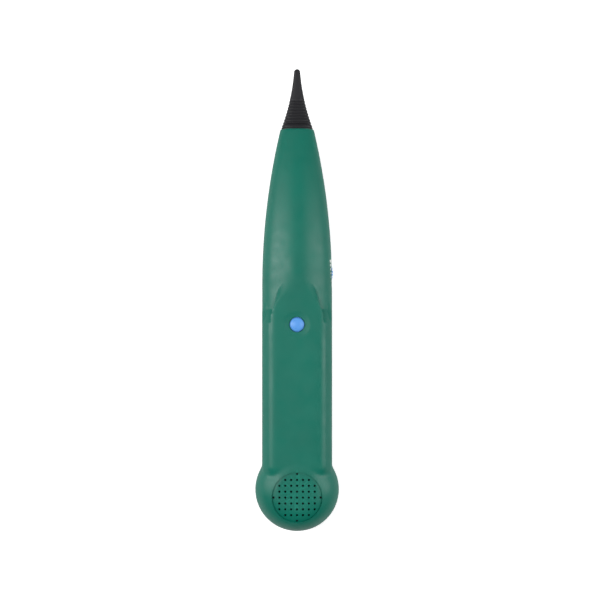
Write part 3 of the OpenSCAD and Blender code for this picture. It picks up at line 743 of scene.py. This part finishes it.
class FINDER_OT_push_button(bpy.types.Operator):
    """Domed round push button with its flange"""
    bl_idname = "finder.push_button"
    bl_label = "Push button"

    def execute(self, context):
        low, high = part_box("button_cap")
        bottom, top = low[2] / MM - MID_Z, high[2] / MM - MID_Z
        r, flange_top, dome = BUTTON_R, GRIP_HALF_D - 2.3, 1.5
        crown = [(r * math.cos(a), top - dome + dome * math.sin(a))
                 for a in np.linspace(0.12, math.pi / 2, 18)]
        body = rounded([(0, bottom), (r, bottom), (r, flange_top - 0.9), (r + 0.9, flange_top - 0.9),
                        (r + 0.9, flange_top), (r, flange_top), (r, top - dome)], 0.15, 3)
        button = turned(body + crown, 96, (0, BUTTON_Y, 0))
        finish_piece(button, "button_dome", FINISHES["control"], "button", 50)
        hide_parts("button_cap")
        return {"FINISHED"}


class FINDER_OT_volume_wheel(bpy.types.Operator):
    """Volume wheel with a knurled edge and a dished face"""
    bl_idname = "finder.volume_wheel"
    bl_label = "Volume wheel"

    def execute(self, context):
        ridges = context.scene.finder_sizes.ridges
        joint = next(j for j in frame["joints"] if j["name"] == "volume_turn")
        centre = (joint["pos_m"][0] / MM, joint["pos_m"][1] / MM - TAIL_Y, 0)
        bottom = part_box("volume_wheel")[0][2] / MM - MID_Z
        top = bottom + 4.0
        radius, groove = 11.0, 0.42
        profile = rounded([(1.15, bottom + 1.4), (2.3, bottom + 1.4), (2.3, bottom), (3.4, bottom),
                           (4.2, bottom + 0.5), (8.8, bottom + 0.5), (9.4, bottom), (radius, bottom),
                           (radius, top), (2.0, top), (2.0, top + 1.5), (1.15, top + 1.5),
                           (1.15, bottom + 1.4)], 0.3, 4)
        radii, heights = np.array(profile).T
        sides = ridges * 8

        def place(column, row):
            angle = TURN * column / sides
            phase = np.abs(((column / 8) % 1) - 0.5) * 2
            depth = groove * smooth((phase - 0.55) / 0.35)
            out = smooth((radii[row] - radius + 0.9) / 0.5)
            r = radii[row] - depth * out
            return to_frame(r * np.cos(angle) + centre[0], r * np.sin(angle) + centre[1], heights[row])

        wheel = woven_grid(sides, len(profile) - 1, place)
        finish_piece(wheel, "thumbwheel", FINISHES["control"], "wheel", 45)
        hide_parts("volume_wheel")
        return {"FINISHED"}


class FINDER_OT_level_dots(bpy.types.Operator):
    """Seven printed dots beside the wheel that grow towards the probe tip"""
    bl_idname = "finder.level_dots"
    bl_label = "Level dots"

    def execute(self, context):
        low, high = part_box("volume_wheel")
        wheel_y = (low[1] + high[1]) / 2 / MM - TAIL_Y
        dots = []
        for index in range(7):
            radius = 0.9 - 0.7 * (6 - index) / 6
            dots.append(printed_dot(wheel_y + (index - 3) * 2.2, 2.9 + radius, radius))
        mark = joined(dots)
        finish_piece(mark, "level_dots", FINISHES["marks"], "housing")
        return {"FINISHED"}


def printed_dot(y, z, radius):
    """A thin round dot that follows the housing's right side."""
    sides, thick = 40, 0.035

    def place(column, row):
        angle = TURN * column / sides
        r = np.array([0, radius * 0.5, radius * 0.94, radius, radius, 0])[row]
        up = np.array([thick, thick, thick, thick * 0.5, -0.06, -0.06])[row]
        along, height = y + r * np.cos(angle), z + r * np.sin(angle)
        turn = np.arctan2(height, half_width(along))
        for _ in range(12):
            x = body_point(turn, along, 0.0)[0]
            turn = np.arctan2(height, x)
        return to_frame(x + up, along, height)

    return woven_grid(sides, 5, place)


class FINDER_OT_earphone_jack(bpy.types.Operator):
    """Plated ferrule of the earphone jack, with its rolled edge"""
    bl_idname = "finder.earphone_jack"
    bl_label = "Earphone jack"

    def execute(self, context):
        low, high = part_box("jack_ferrule")
        centre_y, centre_z = (low[1] + high[1]) / 2 / MM, (low[2] + high[2]) / 2 / MM
        out, inner = low[0] / MM, high[0] / MM
        radius = (high[1] - low[1]) / 2 / MM
        profile = rounded([(1.8, inner), (radius, inner), (radius, out), (2.35, out), (1.8, out + 0.8),
                           (1.8, inner)], 0.3, 5)
        ferrule = turned(profile, 72, (0, centre_y - TAIL_Y, centre_z - MID_Z), "X")
        finish_piece(ferrule, "jack_collar", FINISHES["chrome"], "housing", 40)
        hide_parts("jack_ferrule")
        return {"FINISHED"}


# ---------------------------------------------------------------- stage


# How much of its own light the floor gives in the camera's eyes: near the tool, and far away
FLOOR_LIFT = (0.62, 0.95)


def softbox(name, place, size, watts):
    """A soft lamp that faces the tool."""
    bpy.ops.object.light_add(type="AREA", location=place)
    lamp = bpy.context.object
    lamp.name = name
    lamp.data.shape = "RECTANGLE"
    lamp.data.size, lamp.data.size_y = size
    lamp.data.energy = watts
    direction = -lamp.location
    lamp.rotation_euler = direction.to_track_quat("-Z", "Y").to_euler()


def plain_light_floor(base):
    """Pale floor that looks white from the camera and still shows the tool's shadow."""
    material, tree, shader = new_material("pale floor", base, 0.9)
    coords = tree.nodes.new("ShaderNodeTexCoord").outputs["Object"]
    tone = mixed(tree, ranged(tree, noise_of(tree, 3, 2, coords), 0, 1), tinted(base, 0.99), base)
    tree.links.new(tone, shader.inputs["Base Color"])
    path = tree.nodes.new("ShaderNodeLightPath")
    reach = tree.nodes.new("ShaderNodeVectorMath")
    reach.operation = "LENGTH"
    tree.links.new(coords, reach.inputs[0])
    lift = tree.nodes.new("ShaderNodeMath")
    lift.operation = "MULTIPLY"
    tree.links.new(path.outputs["Is Camera Ray"], lift.inputs[0])
    tree.links.new(ranged(tree, reach.outputs["Value"], *FLOOR_LIFT, 0.2, 0.8), lift.inputs[1])
    tree.links.new(lift.outputs["Value"], shader.inputs["Emission Strength"])
    shader.inputs["Emission Color"].default_value = (1, 1, 1, 1)
    shader.inputs["Specular IOR Level"].default_value = 0.0
    clear = tree.nodes.new("ShaderNodeBsdfTransparent")
    sides = tree.nodes.new("ShaderNodeMixShader")
    tree.links.new(tree.nodes.new("ShaderNodeNewGeometry").outputs["Backfacing"], sides.inputs["Fac"])
    tree.links.new(shader.outputs["BSDF"], sides.inputs[1])
    tree.links.new(clear.outputs["BSDF"], sides.inputs[2])
    tree.links.new(sides.outputs["Shader"], tree.nodes["Material Output"].inputs["Surface"])
    return material


class FINDER_OT_stage(bpy.types.Operator):
    """Floor, lamps, world and camera"""
    bl_idname = "finder.stage"
    bl_label = "Stage"

    def execute(self, context):
        scene = context.scene
        bpy.ops.object.select_all(action="DESELECT")
        bpy.ops.mesh.primitive_plane_add(size=12, location=(0, 0, -0.00005))
        floor = settle(bpy.context.object)
        floor.name = "floor"
        floor.data.materials.append(plain_light_floor(tuple(scene.finder_colours.floor)))
        softbox("left softbox", (-0.62, 0.05, 0.62), (0.22, 1.1), 6.5)
        softbox("right softbox", (0.72, 0.0, 0.62), (0.4, 1.1), 5.5)
        softbox("top softbox", (0.0, 0.9, 0.9), (0.9, 0.3), 1.0)
        world = bpy.data.worlds.new("studio")
        scene.world = world
        world.use_nodes = True
        tree = world.node_tree
        background = tree.nodes["Background"]
        background.inputs["Color"].default_value = (1, 1, 1, 1)
        path = tree.nodes.new("ShaderNodeLightPath")
        tree.links.new(ranged(tree, path.outputs["Is Camera Ray"], 0.1, 1.0, 0, 1),
                       background.inputs["Strength"])
        view_w = 0.33
        bpy.ops.object.camera_add()
        camera = bpy.context.object
        camera.data.lens = 110
        camera.data.sensor_width = 36
        distance = view_w * camera.data.lens / camera.data.sensor_width
        camera.location = (0.0016, 0, MID_Z * MM + distance)
        camera.rotation_euler = (0, 0, 0)
        camera.data.clip_start, camera.data.clip_end = 0.01, 50
        scene.camera = camera
        scene.view_settings.view_transform = "Standard"
        return {"FINISHED"}


STEPS = (
    FINDER_OT_stage,
    FINDER_OT_front_housing,
    FINDER_OT_back_housing,
    FINDER_OT_battery_door,
    FINDER_OT_battery_bay,
    FINDER_OT_probe_tip,
    FINDER_OT_push_button,
    FINDER_OT_volume_wheel,
    FINDER_OT_level_dots,
    FINDER_OT_earphone_jack,
)


class FINDER_PT_panel(bpy.types.Panel):
    """The pieces of the receiver, their sizes and their colours"""
    bl_label = "Breaker finder"
    bl_idname = "FINDER_PT_panel"
    bl_space_type = "VIEW_3D"
    bl_region_type = "UI"
    bl_category = "Finder"

    def draw(self, context):
        column = self.layout.column()
        for step in STEPS:
            column.operator(step.bl_idname)
        for group in (context.scene.finder_sizes, context.scene.finder_colours):
            for name in group.__annotations__:
                column.prop(group, name)


CLASSES = (FINDER_PG_sizes, FINDER_PG_colours, *STEPS, FINDER_PT_panel)


def register():
    for cls in CLASSES:
        bpy.utils.register_class(cls)
    bpy.types.Scene.finder_sizes = PointerProperty(type=FINDER_PG_sizes)
    bpy.types.Scene.finder_colours = PointerProperty(type=FINDER_PG_colours)


def unregister():
    del bpy.types.Scene.finder_colours
    del bpy.types.Scene.finder_sizes
    for cls in reversed(CLASSES):
        bpy.utils.unregister_class(cls)


def main():
    register()
    make_finishes(bpy.context.scene.finder_colours)
    finish_cad_nodes()
    for step in STEPS:
        group, name = step.bl_idname.split(".")
        getattr(getattr(bpy.ops, group), name)()


if __name__ == "__main__":
    main()
